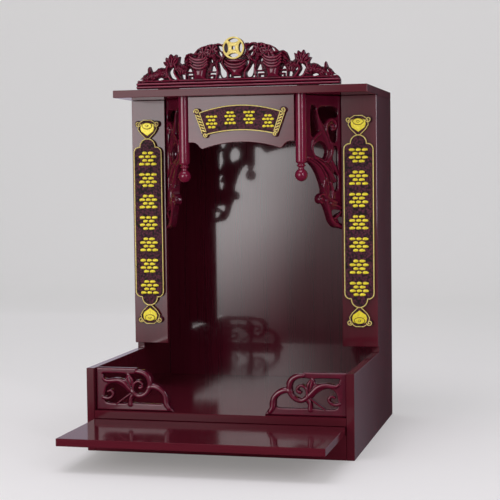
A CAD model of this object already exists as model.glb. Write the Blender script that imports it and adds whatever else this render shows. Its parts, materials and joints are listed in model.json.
"""Household altar cabinet: lacquered boards, turned posts, openwork carving and gilded plaques.

Metres, +Z up, front towards -Y. Carved panels are drawn in their own plane in millimetres.
"""

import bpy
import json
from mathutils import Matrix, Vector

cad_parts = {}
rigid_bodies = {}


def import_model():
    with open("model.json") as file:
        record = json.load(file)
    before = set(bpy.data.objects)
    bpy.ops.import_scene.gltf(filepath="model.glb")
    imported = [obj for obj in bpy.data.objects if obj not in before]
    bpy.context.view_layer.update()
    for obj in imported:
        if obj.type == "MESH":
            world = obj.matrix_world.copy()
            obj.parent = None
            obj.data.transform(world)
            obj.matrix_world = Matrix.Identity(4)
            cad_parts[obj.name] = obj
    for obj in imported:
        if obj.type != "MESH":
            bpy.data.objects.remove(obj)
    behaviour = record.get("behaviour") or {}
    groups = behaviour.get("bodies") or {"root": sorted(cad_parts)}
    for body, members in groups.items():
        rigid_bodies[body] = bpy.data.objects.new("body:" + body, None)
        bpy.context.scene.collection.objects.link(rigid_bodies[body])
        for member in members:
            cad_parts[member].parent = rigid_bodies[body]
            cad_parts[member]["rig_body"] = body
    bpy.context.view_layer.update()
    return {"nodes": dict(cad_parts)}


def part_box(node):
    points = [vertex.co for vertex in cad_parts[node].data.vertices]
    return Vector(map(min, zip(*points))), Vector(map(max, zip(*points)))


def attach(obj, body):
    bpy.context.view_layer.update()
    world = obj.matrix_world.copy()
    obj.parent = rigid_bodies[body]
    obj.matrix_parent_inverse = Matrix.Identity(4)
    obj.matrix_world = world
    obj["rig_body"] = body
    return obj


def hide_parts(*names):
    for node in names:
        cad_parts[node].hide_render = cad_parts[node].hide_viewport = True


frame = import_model()

import json
import math

import bmesh
import bpy
import numpy as np
from bpy.props import FloatProperty, FloatVectorProperty, IntProperty, PointerProperty
from bpy.types import Operator, Panel, PropertyGroup
from mathutils import Matrix, Vector
from mathutils.geometry import delaunay_2d_cdt

bl_info = {
    "name": "Household altar cabinet",
    "version": (1, 0, 0),
    "blender": (4, 5, 0),
    "location": "3D View > Sidebar > Altar cabinet",
    "description": "Builds the looks of a lacquered altar cabinet around its packed frame",
    "category": "Object",
}

MM = 0.001  # metres in a millimetre
FAR = 1e3  # millimetres, farther than any panel reaches
GAP = 0.3  # millimetres left between touching pieces
SMOOTH_UP_TO = 42  # degrees between two faces that still look rounded
TO_RIGHT, TO_FRONT = (1, 0, 0), (0, -1, 0)


# ---------------------------------------------------------------- places taken from the frame
def box_mm(node):
    """Lowest and highest corner of a CAD node, in millimetres."""
    low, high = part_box(node)
    return low / MM, high / MM


POST_LOW, POST_HIGH = box_mm("right_post")
PILLAR_LOW = box_mm("right_pillar_board")[0]
BRACKET_HIGH = box_mm("right_carved_bracket")[1]
CREST_LOW, CREST_HIGH = box_mm("crest")
COUPLET_LOW, COUPLET_HIGH = box_mm("right_couplet_plaque")
BANNER_HIGH = box_mm("header_plaque")[1]


# ---------------------------------------------------------------- colours
def to_linear(code):
    """An sRGB hex colour as linear red, green and blue."""
    parts = [int(code[i:i + 2], 16) / 255 for i in (1, 3, 5)]
    return tuple(c / 12.92 if c <= 0.04045 else ((c + 0.055) / 1.055) ** 2.4 for c in parts)


# ---------------------------------------------------------------- settings
class AltarFinishSettings(PropertyGroup):
    """Colours of the lacquers and the gilding."""

    board: FloatVectorProperty(
        name="Board lacquer", description="Maroon lacquer of the carcase boards",
        subtype="COLOR", size=3, min=0, max=1, default=to_linear("#521722"))
    carved: FloatVectorProperty(
        name="Carving lacquer", description="Burgundy lacquer of the carved pieces",
        subtype="COLOR", size=3, min=0, max=1, default=to_linear("#6a142e"))
    back: FloatVectorProperty(
        name="Back lacquer", description="Dark lacquer of the back panel",
        subtype="COLOR", size=3, min=0, max=1, default=to_linear("#4a101e"))
    ground: FloatVectorProperty(
        name="Plaque ground", description="Stippled ground of the plaques",
        subtype="COLOR", size=3, min=0, max=1, default=to_linear("#36101e"))
    gold: FloatVectorProperty(
        name="Gilding", description="Bright gold of the strokes and shields on the plaques",
        subtype="COLOR", size=3, min=0, max=1, default=to_linear("#f6e93e"))
    rim: FloatVectorProperty(
        name="Rim gilding", description="Paler gold of the plaques' rims, scrolls and rolls and of the coin",
        subtype="COLOR", size=3, min=0, max=1, default=to_linear("#efe08c"))


class AltarShapeSettings(PropertyGroup):
    """Sizes of the finer shapes."""

    arris: FloatProperty(
        name="Arris", description="Rounding on the edges of the boards",
        unit="LENGTH", min=0.0001, max=0.003, default=0.0009)
    carving_step: FloatProperty(
        name="Carving step", description="Spacing of the points on the carved surfaces",
        unit="LENGTH", min=0.0004, max=0.003, default=0.0007)
    rim_width: FloatProperty(
        name="Rim width", description="Width of the gilded line around a plaque",
        unit="LENGTH", min=0.0005, max=0.005, default=0.0022)
    stipple_size: FloatProperty(
        name="Stipple size", description="Radius of one raised grain of a plaque's ground",
        unit="LENGTH", min=0.0002, max=0.003, default=0.0012)
    stipple_seed: IntProperty(
        name="Stipple seed", description="Arrangement of the raised grains", min=0, default=7)


class AltarStageSettings(PropertyGroup):
    """Camera and light."""

    lens: FloatProperty(
        name="Lens", description="Focal length of the camera in millimetres",
        subtype="DISTANCE_CAMERA", min=20, max=300, default=97.2)
    window_power: FloatProperty(
        name="Window strength",
        description="Radiance of the large card in front, to the left; the two lamps follow it",
        min=0, max=50, default=3.8)
    room_strength: FloatProperty(
        name="Room strength", description="Strength of the even light from all around",
        min=0, max=5, default=0.5)


# ---------------------------------------------------------------- node helper
def add_node(tree, kind, inputs=(), **settings):
    """Adds a node: settings are its properties, inputs its values or the sockets linked to it."""
    made = tree.nodes.new(kind)
    for name, value in settings.items():
        setattr(made, name, value)
    for key, value in dict(inputs).items():
        if isinstance(value, bpy.types.NodeSocket):
            tree.links.new(value, made.inputs[key])
        else:
            made.inputs[key].default_value = value
    return made


def new_material(name):
    """An empty node material and its tree."""
    made = bpy.data.materials.new(name)
    made.use_nodes = True
    made.node_tree.nodes.clear()
    return made, made.node_tree


def finish_material(tree, shader, bump=None):
    """Wires a bump, where there is one, to the last shader and the shader to the output."""
    if bump is not None:
        tree.links.new(bump, shader.inputs["Normal"])
    add_node(tree, "ShaderNodeOutputMaterial", {"Surface": shader.outputs[0]})


# ---------------------------------------------------------------- materials
def board_lacquer(name, colour, grain_axis, varnish):
    """Polyester lacquer sprayed on veneered board and buffed: deep gloss with a faint straight grain.

    The grain lines are about 1.4 mm apart and 60 times as long; the orange peel is 5 mm across.
    The varnish is the weight of its clear coat and the mirror strength of the lacquer under it.
    """
    coat, mirror = varnish
    grain_width, grain_drawn, figure_width = 0.0028, 60, 0.022
    cloud_width, peel_width = 0.09, 0.005
    made, tree = new_material(name)
    place = add_node(tree, "ShaderNodeTexCoord").outputs["Object"]
    stretch = [1.0, 1.0, 1.0]
    stretch["XYZ".index(grain_axis)] = 1 / grain_drawn
    drawn = add_node(tree, "ShaderNodeMapping", {"Vector": place, "Scale": stretch})
    grain = add_node(tree, "ShaderNodeTexNoise",
                     {"Vector": drawn.outputs[0], "Scale": 1 / grain_width, "Detail": 3.0,
                      "Roughness": 0.6})
    figure = add_node(tree, "ShaderNodeTexNoise",
                      {"Vector": drawn.outputs[0], "Scale": 1 / figure_width, "Detail": 2.0})
    both = add_node(tree, "ShaderNodeMix",
                    {"Factor": 0.5, 2: grain.outputs["Fac"], 3: figure.outputs["Fac"]})
    ramp = add_node(tree, "ShaderNodeValToRGB", {"Fac": both.outputs[0]})
    low, high = ramp.color_ramp.elements
    low.position, high.position = 0.36, 0.64
    low.color = (*[c * 0.86 for c in colour], 1)
    high.color = (*[c * 1.12 for c in colour], 1)
    cloud = add_node(tree, "ShaderNodeTexNoise",
                     {"Vector": place, "Scale": 1 / cloud_width, "Detail": 2.0})
    gloss = add_node(tree, "ShaderNodeMapRange",
                     {"Value": cloud.outputs["Fac"], "From Min": 0.3, "From Max": 0.7,
                      "To Min": 0.085, "To Max": 0.13})
    peel = add_node(tree, "ShaderNodeTexNoise",
                    {"Vector": place, "Scale": 1 / peel_width, "Detail": 1.0})
    bump = add_node(tree, "ShaderNodeBump",
                    {"Height": peel.outputs["Fac"], "Strength": 0.03, "Distance": 0.0004})
    shader = add_node(tree, "ShaderNodeBsdfPrincipled",
                      {"Base Color": ramp.outputs["Color"], "Roughness": gloss.outputs["Result"],
                       "IOR": 1.5, "Specular IOR Level": mirror, "Coat Weight": coat,
                       "Coat Roughness": 0.04})
    finish_material(tree, shader, bump.outputs["Normal"])
    return made


def carving_lacquer(name, colour):
    """Burgundy lacquer over carved limewood: thick and glossy, it pools darker in the hollows."""
    cloud_width, peel_width = 0.012, 0.004
    made, tree = new_material(name)
    place = add_node(tree, "ShaderNodeTexCoord").outputs["Object"]
    hollow = add_node(tree, "ShaderNodeAttribute", attribute_name="hollow")
    cloud = add_node(tree, "ShaderNodeTexNoise",
                     {"Vector": place, "Scale": 1 / cloud_width, "Detail": 3.0})
    shade = add_node(tree, "ShaderNodeMath",
                     {0: cloud.outputs["Fac"], 1: 0.35, 2: hollow.outputs["Fac"]},
                     operation="MULTIPLY_ADD")
    ramp = add_node(tree, "ShaderNodeValToRGB", {"Fac": shade.outputs[0]})
    low, high = ramp.color_ramp.elements
    low.position, high.position = 0.12, 0.75
    low.color = (*[c * 1.15 for c in colour], 1)
    high.color = (*[c * 0.35 for c in colour], 1)
    gloss = add_node(tree, "ShaderNodeMapRange",
                     {"Value": cloud.outputs["Fac"], "From Min": 0.3, "From Max": 0.7,
                      "To Min": 0.16, "To Max": 0.24})
    peel = add_node(tree, "ShaderNodeTexNoise",
                    {"Vector": place, "Scale": 1 / peel_width, "Detail": 2.0})
    bump = add_node(tree, "ShaderNodeBump",
                    {"Height": peel.outputs["Fac"], "Strength": 0.12, "Distance": 0.0004})
    shader = add_node(tree, "ShaderNodeBsdfPrincipled",
                      {"Base Color": ramp.outputs["Color"], "Roughness": gloss.outputs["Result"],
                       "IOR": 1.5, "Coat Weight": 0.5, "Coat Roughness": 0.08})
    finish_material(tree, shader, bump.outputs["Normal"])
    return made


def stippled_ground(name, colour):
    """Matt dark maroon paint over a punched ground: the punch marks catch small lights."""
    mark_pitch = 0.0042
    made, tree = new_material(name)
    place = add_node(tree, "ShaderNodeTexCoord").outputs["Object"]
    marks = add_node(tree, "ShaderNodeTexVoronoi", {"Vector": place, "Scale": 1 / mark_pitch})
    ramp = add_node(tree, "ShaderNodeValToRGB", {"Fac": marks.outputs["Distance"]})
    low, high = ramp.color_ramp.elements
    low.position, high.position = 0.15, 0.75
    low.color = (*[min(1.0, c * 3.4) for c in colour], 1)
    high.color = (*[c * 0.3 for c in colour], 1)
    bump = add_node(tree, "ShaderNodeBump",
                    {"Height": marks.outputs["Distance"], "Strength": 0.5, "Distance": 0.0006},
                    invert=True)
    shader = add_node(tree, "ShaderNodeBsdfPrincipled",
                      {"Base Color": ramp.outputs["Color"], "Roughness": 0.6, "IOR": 1.4})
    finish_material(tree, shader, bump.outputs["Normal"])
    return made


def gold_paint(name, colour):
    """Bronze-powder gold paint, brushed on: bright yellow with a metallic lustre."""
    brush_width = 0.003
    made, tree = new_material(name)
    place = add_node(tree, "ShaderNodeTexCoord").outputs["Object"]
    brush = add_node(tree, "ShaderNodeTexNoise",
                     {"Vector": place, "Scale": 1 / brush_width, "Detail": 3.0})
    ramp = add_node(tree, "ShaderNodeValToRGB", {"Fac": brush.outputs["Fac"]})
    low, high = ramp.color_ramp.elements
    low.position, high.position = 0.3, 0.7
    low.color = (*[c * f for c, f in zip(colour, (0.82, 0.72, 0.5))], 1)
    high.color = (*[min(1.0, c * 1.08) for c in colour], 1)
    bump = add_node(tree, "ShaderNodeBump",
                    {"Height": brush.outputs["Fac"], "Strength": 0.2, "Distance": 0.0003})
    shader = add_node(tree, "ShaderNodeBsdfPrincipled",
                      {"Base Color": ramp.outputs["Color"], "Metallic": 0.12, "Roughness": 0.3})
    finish_material(tree, shader, bump.outputs["Normal"])
    return made


def stage_paint(name, colour):
    """Matt emulsion of the studio floor, with a barely visible roller texture."""
    made, tree = new_material(name)
    place = add_node(tree, "ShaderNodeTexCoord").outputs["Object"]
    roller = add_node(tree, "ShaderNodeTexNoise", {"Vector": place, "Scale": 3.0, "Detail": 2.0})
    ramp = add_node(tree, "ShaderNodeValToRGB", {"Fac": roller.outputs["Fac"]})
    ramp.color_ramp.elements[0].color = (*[c * 0.99 for c in colour], 1)
    ramp.color_ramp.elements[1].color = (*colour, 1)
    shader = add_node(tree, "ShaderNodeBsdfPrincipled",
                      {"Base Color": ramp.outputs["Color"], "Roughness": 0.9,
                       "Emission Color": ramp.outputs["Color"], "Emission Strength": 0.27})
    finish_material(tree, shader)
    return made


def wall_light(name, colour, radiance):
    """A wall of one tint, lit at its left end and, less strongly, at its right end."""
    made, tree = new_material(name)
    place = add_node(tree, "ShaderNodeTexCoord").outputs["Object"]
    parts = add_node(tree, "ShaderNodeSeparateXYZ", {"Vector": place})
    left = add_node(tree, "ShaderNodeMapRange",
                    {"Value": parts.outputs["X"], "From Min": -0.6, "From Max": -0.2,
                     "To Min": radiance, "To Max": radiance * 0.05}, interpolation_type="SMOOTHSTEP")
    right = add_node(tree, "ShaderNodeMapRange",
                     {"Value": parts.outputs["X"], "From Min": 0.54, "From Max": 1.0,
                      "To Min": 0.0, "To Max": radiance * 0.75}, interpolation_type="SMOOTHSTEP")
    power = add_node(tree, "ShaderNodeMath", {0: left.outputs["Result"], 1: right.outputs["Result"]},
                     operation="ADD")
    lamp = add_node(tree, "ShaderNodeEmission",
                    {"Color": (*colour, 1), "Strength": power.outputs[0]})
    finish_material(tree, lamp)
    return made


def card_light(name, colour, radiance):
    """A lit diffusing cloth: even on the left, an eighth half a metre on, dimmer near the floor."""
    made, tree = new_material(name)
    place = add_node(tree, "ShaderNodeTexCoord").outputs["Object"]
    parts = add_node(tree, "ShaderNodeSeparateXYZ", {"Vector": place})
    sideways = add_node(tree, "ShaderNodeMath", {0: parts.outputs["Z"], 1: -0.34, 2: parts.outputs["X"]},
                        operation="MULTIPLY_ADD")
    fade = add_node(tree, "ShaderNodeMapRange",
                    {"Value": sideways.outputs[0], "From Min": -1.0, "From Max": -0.52,
                     "To Min": 1.0, "To Max": 0.13}, interpolation_type="SMOOTHSTEP")
    rise = add_node(tree, "ShaderNodeMapRange",
                    {"Value": parts.outputs["Z"], "From Min": -0.26, "From Max": 0.32,
                     "To Min": 0.08, "To Max": 1.0})
    both = add_node(tree, "ShaderNodeMath", {0: fade.outputs["Result"], 1: rise.outputs["Result"]},
                    operation="MULTIPLY")
    power = add_node(tree, "ShaderNodeMath", {0: both.outputs[0], 1: radiance}, operation="MULTIPLY")
    lamp = add_node(tree, "ShaderNodeEmission",
                    {"Color": (*colour, 1), "Strength": power.outputs[0]})
    finish_material(tree, lamp)
    return made


def shared_material(maker, name, *args):
    """The material of that name, made once."""
    return bpy.data.materials.get(name) or maker(name, *args)


def lacquer_for(context, grain_axis, varnish):
    """The boards' lacquer with its grain along one axis, under that varnish."""
    coat, mirror = (round(share * 100) for share in varnish)
    name = f"board_lacquer_grain_{grain_axis.lower()}_coat_{coat}_mirror_{mirror}"
    return shared_material(board_lacquer, name, context.scene.altar_finish.board, grain_axis, varnish)


def carved_for(context):
    """The carved pieces' lacquer."""
    return shared_material(carving_lacquer, "carving_lacquer", context.scene.altar_finish.carved)


def gold_for(context):
    """The bright gold paint."""
    return shared_material(gold_paint, "gold_paint", context.scene.altar_finish.gold)


def rim_for(context):
    """The paler gold paint."""
    return shared_material(gold_paint, "rim_gold_paint", context.scene.altar_finish.rim)


# ---------------------------------------------------------------- objects
def new_object(name, mesh, materials, body, replaced):
    """Links a finished mesh, lets it ride on its body and stand for its CAD nodes."""
    made = bpy.data.objects.new(name, mesh)
    bpy.context.scene.collection.objects.link(made)
    for material in materials:
        mesh.materials.append(material)
    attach(made, body)
    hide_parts(*replaced)
    return made


def mesh_from(vertices, faces, smooth=True, material_index=None, hollow=None):
    """A mesh in metres from points in metres; smooth looks rounded where faces meet at low angles."""
    mesh = bpy.data.meshes.new("shape")
    mesh.from_pydata([tuple(p) for p in vertices], [], [list(map(int, f)) for f in faces])
    if material_index is not None:
        mesh.polygons.foreach_set("material_index", np.asarray(material_index, np.int32))
    if hollow is not None:
        layer = mesh.attributes.new("hollow", "FLOAT", "POINT")
        layer.data.foreach_set("value", np.asarray(hollow, np.float32))
    mesh.polygons.foreach_set("use_smooth", [smooth] * len(mesh.polygons))
    if smooth:
        mesh.set_sharp_from_angle(angle=math.radians(SMOOTH_UP_TO))
    mesh.update()
    return mesh


def merged_mesh(meshes):
    """One mesh from several, which keep their material numbers."""
    whole = bmesh.new()
    for mesh in meshes:
        whole.from_mesh(mesh)
        bpy.data.meshes.remove(mesh)
    made = bpy.data.meshes.new("shape")
    whole.to_mesh(made)
    whole.free()
    return made


def arrised_board(name, arris):
    """A copy of a CAD board with whole flat faces and rounded edges, and the body it rides on."""
    flat_angle, edge_angle = math.radians(2), math.radians(30)
    body = frame["nodes"][name]["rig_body"]
    shape = bmesh.new()
    shape.from_mesh(frame["nodes"][name].data)
    bmesh.ops.remove_doubles(shape, verts=shape.verts, dist=1e-5)
    bmesh.ops.dissolve_limit(shape, angle_limit=flat_angle, verts=shape.verts, edges=shape.edges)
    sharp = [e for e in shape.edges if e.is_manifold and e.calc_face_angle() > edge_angle]
    bmesh.ops.bevel(shape, geom=sharp, offset=arris, segments=2, profile=0.5, affect="EDGES",
                    clamp_overlap=True)
    bmesh.ops.recalc_face_normals(shape, faces=shape.faces)
    mesh = bpy.data.meshes.new(name)
    shape.to_mesh(mesh)
    shape.free()
    for layer in list(mesh.uv_layers):
        mesh.uv_layers.remove(layer)
    return mesh, body


# ---------------------------------------------------------------- curves in a panel's plane
def smooth_line(pairs, closed=False, steps=6):
    """Points on a smooth line through the given ones (uniform Catmull-Rom)."""
    given = np.asarray(pairs, float)
    if closed:
        around = np.vstack([given[-1], given, given[0], given[1]])
    else:
        around = np.vstack([2 * given[0] - given[1], given, 2 * given[-1] - given[-2]])
    line = []
    for a, b, c, d in zip(around[:-3], around[1:-2], around[2:-1], around[3:]):
        for t in np.arange(steps) / steps:
            line.append(0.5 * (2 * b + (c - a) * t + (2 * a - 5 * b + 4 * c - d) * t * t
                               + (3 * b - a - 3 * c + d) * t ** 3))
    if not closed:
        line.append(given[-1])
    return np.array(line)


def fair_line(pairs, steps=6):
    """A smooth line through three or more points, a straight one through two."""
    return smooth_line(pairs, steps=steps) if len(pairs) > 2 else np.asarray(pairs, float)


def spread(values, count):
    """The given values spread evenly over count points."""
    return np.interp(np.linspace(0, 1, count), np.linspace(0, 1, len(values)), values)


def arc_points(x, y, radius, start, end, steps):
    """Points on an arc, angles in degrees."""
    turn = np.radians(np.linspace(start, end, steps + 1))
    return [(x + radius * math.cos(a), y + radius * math.sin(a)) for a in turn]


def spiral_points(x, y, radius, start, turns, steps, inner=0.25):
    """Points on a flat spiral that winds inwards."""
    t = np.linspace(0, 1, steps)
    reach = radius * (1 - (1 - inner) * t)
    angle = math.radians(start) + 2 * math.pi * turns * t
    return np.stack([x + reach * np.cos(angle), y + reach * np.sin(angle)], 1)


def lens_outline(tip, end, width, steps=8, bend=0.0):
    """Outline of a pointed leaf between two tips, bowed sideways by bend times its length."""
    a, b = np.array(tip, float), np.array(end, float)
    along = b - a
    across = np.array([-along[1], along[0]])
    t = np.linspace(0, 1, steps + 1)
    spine = a + np.outer(t, along) + np.outer(np.sin(np.pi * t) * bend, across)
    off = np.outer(np.sin(np.pi * t) * width / 2 / np.hypot(*along), across)
    return np.vstack([spine - off, (spine + off)[-2:0:-1]])


# ---------------------------------------------------------------- carving
def from_stretch(u, v, start, end):
    """Where along a straight stretch each point's nearest place is, and its offsets from there."""
    (x0, y0), (x1, y1) = start, end
    ex, ey = x1 - x0, y1 - y0
    t = np.clip(((u - x0) * ex + (v - y0) * ey) / (ex * ex + ey * ey + 1e-9), 0, 1)
    return t, u - x0 - t * ex, v - y0 - t * ey


def line_reach(u, v, line, halves):
    """How far each point lies inside a band, and its distance as a share of the half width."""
    best = np.full(u.shape, -FAR)
    share = np.ones(u.shape)
    for i in range(len(line) - 1):
        t, du, dv = from_stretch(u, v, line[i], line[i + 1])
        off = np.hypot(du, dv)
        half = halves[i] + (halves[i + 1] - halves[i]) * t
        closer = half - off > best
        best = np.where(closer, half - off, best)
        share = np.where(closer, np.clip(off / np.maximum(half, 1e-6), 0, 1), share)
    return best, share


def outline_reach(u, v, outline):
    """Distance to a closed outline, positive inside it."""
    nearest = np.full(u.shape, FAR * FAR)
    inside = np.zeros(u.shape, bool)
    for (x0, y0), (x1, y1) in zip(outline, np.roll(outline, -1, axis=0)):
        _, du, dv = from_stretch(u, v, (x0, y0), (x1, y1))
        nearest = np.minimum(nearest, du ** 2 + dv ** 2)
        if y1 - y0:
            inside ^= ((y0 > v) != (y1 > v)) & (u < x0 + (v - y0) * (x1 - x0) / (y1 - y0))
    return np.where(inside, 1, -1) * np.sqrt(nearest)


class Carving:
    """A panel carved from one side, in millimetres: u along it, v up it, height above its flat back.

    cover is how far a point lies inside the wood's outline, and is negative outside it.
    """

    def __init__(self, low, high, step, mirrored=False):
        columns = np.arange(low[0] - 2 * step, high[0] + 3 * step, step)
        rows = np.arange(low[1] - 2 * step, high[1] + 3 * step, step)
        self.grid_u, self.grid_v = np.meshgrid(columns, rows)
        self.u = np.abs(self.grid_u) if mirrored else self.grid_u
        self.v = self.grid_v
        self.step = step
        self.cover = np.full(self.u.shape, -FAR)
        self.height = np.zeros(self.u.shape)

    def near(self, outline, margin=6.0):
        """The part of the grid around an outline or line."""
        low, high = np.min(outline, 0) - margin, np.max(outline, 0) + margin
        return (self.u > low[0]) & (self.u < high[0]) & (self.v > low[1]) & (self.v < high[1])

    def join(self, part, cover, height, fillet=1.2):
        """Adds wood over part of the grid and softens the line where two heights meet."""
        old_cover, old_height = self.cover[part], self.height[part]
        both = (old_cover > 0) & (cover > 0)
        meeting = np.clip(1 - np.abs(old_height - height) / fillet, 0, 1) ** 2 * fillet / 4
        higher = np.maximum(old_height, height) + meeting
        self.height[part] = np.where(both, higher, np.where(cover > old_cover, height, old_height))
        self.cover[part] = np.maximum(old_cover, cover)

    def plate(self, outline, height):
        """Wood of one height inside an outline."""
        part = self.near(outline)
        cover = outline_reach(self.u[part], self.v[part], np.asarray(outline, float))
        self.join(part, cover, np.full(cover.shape, float(height)))

    def tool(self, depth, pitch):
        """Punches small hollows all over what is there so far."""
        waves = np.cos(2 * np.pi * self.u / pitch) * np.cos(2 * np.pi * self.v / pitch)
        self.height -= depth * (0.5 + 0.5 * waves)

    def pierce(self, outline):
        """A hole right through."""
        outline = np.asarray(outline, float)
        part = self.near(outline)
        self.cover[part] = np.minimum(self.cover[part],
                                      -outline_reach(self.u[part], self.v[part], outline))

    def band(self, pairs, widths, top, edge):
        """A stroke of changing width with a half-round section."""
        line = fair_line(pairs, 5)
        halves = spread(widths, len(line)) / 2
        part = self.near(line, max(widths) / 2 + 6)
        cover, share = line_reach(self.u[part], self.v[part], line, halves)
        self.join(part, cover, edge + (top - edge) * (1 - share ** 2) ** 0.5)

    def pad(self, outline, top, edge, softness):
        """A raised form that swells from its outline over the given width."""
        outline = np.asarray(outline, float)
        part = self.near(outline)
        cover = outline_reach(self.u[part], self.v[part], outline)
        swell = np.clip(cover / softness, 0, 1)
        self.join(part, cover, edge + (top - edge) * np.sqrt(1 - (1 - swell) ** 2))

    def leaf(self, tip, end, width, top, edge, bend=0.0, veins=0):
        """A pointed leaf with a raised rim, a sunk midrib and optional side veins."""
        a, b = np.array(tip, float), np.array(end, float)
        length = np.hypot(*(b - a))
        outline = lens_outline(tip, end, width, 10, bend)
        part = self.near(outline)
        u, v = self.u[part], self.v[part]
        cover = outline_reach(u, v, outline)
        along = ((u - a[0]) * (b - a)[0] + (v - a[1]) * (b - a)[1]) / length ** 2
        across = (-(u - a[0]) * (b - a)[1] + (v - a[1]) * (b - a)[0]) / length
        across = across - np.sin(np.pi * np.clip(along, 0, 1)) * bend * length
        swell = np.sqrt(np.clip(1 - (1 - np.clip(cover / (width * 0.28), 0, 1)) ** 2, 0, 1))
        height = edge + (top - edge) * swell
        height = height - 0.45 * (top - edge) * np.exp(-(across / (width * 0.09)) ** 2)
        if veins:
            slant = along * veins - np.abs(across) / length * veins * 1.2
            height = height - 0.22 * (top - edge) * (0.5 + 0.5 * np.cos(2 * np.pi * slant)) * swell
        self.join(part, cover, height)

    def dome(self, x, y, radius, top, edge):
        """A round boss."""
        self.band([(x, y), (x + 0.01, y)], [2 * radius, 2 * radius], top, edge)

    def groove(self, pairs, width, depth):
        """A cut line with soft sides."""
        line = fair_line(pairs)
        part = self.near(line, 3 * width)
        cover, _ = line_reach(self.u[part], self.v[part], line, np.full(len(line), 1e-3))
        self.height[part] -= depth * np.exp(-(cover / (width / 2)) ** 2)

    def round_edges(self, radius):
        """Rounds the front arris of everything carved so far."""
        inward = np.clip(self.cover, 0, radius)
        self.height -= radius - np.sqrt(np.maximum(radius ** 2 - (radius - inward) ** 2, 0))

    def hollows(self):
        """0 on ridges and 1 in hollows, from the height against its surroundings."""
        on_flats, per_millimetre = 0.32, 0.28
        wood = (self.cover > 0).astype(float)
        total, weight = self.height * wood, wood.copy()
        for _ in range(3):
            for axis in (0, 1):
                for field in (total, weight):
                    field += np.roll(field, 2, axis) + np.roll(field, -2, axis)
                    field /= 3
        around = total / np.maximum(weight, 1e-6)
        return np.clip(on_flats + (around - self.height) * per_millimetre, 0, 1)

    def skin(self):
        """Front, walls and flat back as one closed shape: points (u, v, height), faces, hollow."""
        inside = self.cover > 0
        number = np.full(inside.shape, -1)
        number[inside] = np.arange(inside.sum())
        hollow = self.hollows()
        points = [np.stack([self.grid_u[inside], self.grid_v[inside], self.height[inside]], 1)]
        shade = list(hollow[inside])
        c00, c01, c11, c10 = inside[:-1, :-1], inside[:-1, 1:], inside[1:, 1:], inside[1:, :-1]
        whole = c00 & c01 & c11 & c10
        quads = np.stack([number[:-1, :-1][whole], number[:-1, 1:][whole],
                          number[1:, 1:][whole], number[1:, :-1][whole]], 1)
        faces = quads.tolist()
        cuts, made, walls = {}, [], []

        def cut(a, b):
            """The point between an inner and an outer grid point where the wood ends.

            It keeps off both of them, so that no face shrinks to nothing.
            """
            inner, outer = (a, b) if inside[a] else (b, a)
            if (inner, outer) not in cuts:
                t = np.clip(self.cover[inner] / (self.cover[inner] - self.cover[outer]), 0.03, 0.97)
                cuts[inner, outer] = len(shade)
                made.append([self.grid_u[inner] * (1 - t) + self.grid_u[outer] * t,
                             self.grid_v[inner] * (1 - t) + self.grid_v[outer] * t,
                             self.height[inner] * (1 - t) + self.height[outer] * t])
                shade.append(hollow[inner])
            return cuts[inner, outer]

        for j, i in zip(*np.nonzero((c00 | c01 | c11 | c10) & ~whole)):
            corners = [(j, i), (j, i + 1), (j + 1, i + 1), (j + 1, i)]
            ring = []
            for k in range(4):
                a, b = corners[k], corners[(k + 1) % 4]
                if inside[a]:
                    ring.append((int(number[a]), False))
                if inside[a] != inside[b]:
                    ring.append((cut(a, b), True))
            faces.append([index for index, _ in ring])
            for (a, a_cut), (b, b_cut) in zip(ring, ring[1:] + ring[:1]):
                if a_cut and b_cut:
                    walls.append((a, b))
        points.append(np.array(made))
        return self.close_back(np.vstack(points), faces, walls, shade)

    def close_back(self, points, faces, walls, shade):
        """Adds the walls down to the back plane and the back itself.

        The back is cut into triangles over the convex hull, and only those in the wood are kept.
        """
        rim = sorted({a for edge in walls for a in edge})
        back = {a: len(points) + k for k, a in enumerate(rim)}
        low = points[rim].copy()
        low[:, 2] = 0
        for a, b in walls:
            faces.append([b, a, back[a], back[b]])
        order = {a: k for k, a in enumerate(rim)}
        edges = [(order[a], order[b]) for a, b in walls]
        flat = [Vector(p[:2]) for p in low]
        _, lines, thirds, sources, given, _ = delaunay_2d_cdt(flat, edges, [], 0, 1e-5)
        rims = {frozenset(line) for line, source in zip(lines, given) if source}
        for number in inner_triangles(thirds, rims):
            a, b, c = (back[rim[sources[k][0]]] for k in thirds[number])
            faces.append([c, b, a])
        shade = list(shade) + [0.5] * len(rim)
        return np.vstack([points, low]), faces, shade


def inner_triangles(thirds, rims):
    """Numbers of the triangles inside closed loops: in and out change at each rim edge."""
    sides = [[frozenset(pair) for pair in ((a, b), (b, c), (c, a))] for a, b, c in thirds]
    beside = {}
    for number, three in enumerate(sides):
        for side in three:
            beside.setdefault(side, []).append(number)
    within = {numbers[0]: side in rims for side, numbers in beside.items() if len(numbers) == 1}
    waiting = list(within)
    while waiting:
        current = waiting.pop()
        for side in sides[current]:
            for other in beside[side]:
                if other not in within:
                    within[other] = within[current] ^ (side in rims)
                    waiting.append(other)
    return sorted(number for number, state in within.items() if state)


def placed(points, origin, right, outwards):
    """Panel points (u, v, height) in millimetres as metres: u along right, v up."""
    up = Vector((0, 0, 1))
    axes = np.array([right, up, outwards], float)
    return (np.asarray(origin, float) + points @ axes) * MM


def mirrored_faces(faces):
    """The same faces seen from the other side."""
    return [list(reversed(face)) for face in faces]


# ---------------------------------------------------------------- geometry node trees
def new_tree(name, inputs):
    """An empty geometry tree with named inputs and one geometry output."""
    tree = bpy.data.node_groups.new(name, "GeometryNodeTree")
    tree.is_modifier = True
    for label, kind in inputs:
        tree.interface.new_socket(label, in_out="INPUT", socket_type=kind)
    tree.interface.new_socket("Geometry", in_out="OUTPUT", socket_type="NodeSocketGeometry")
    return tree, add_node(tree, "NodeGroupInput")


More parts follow.
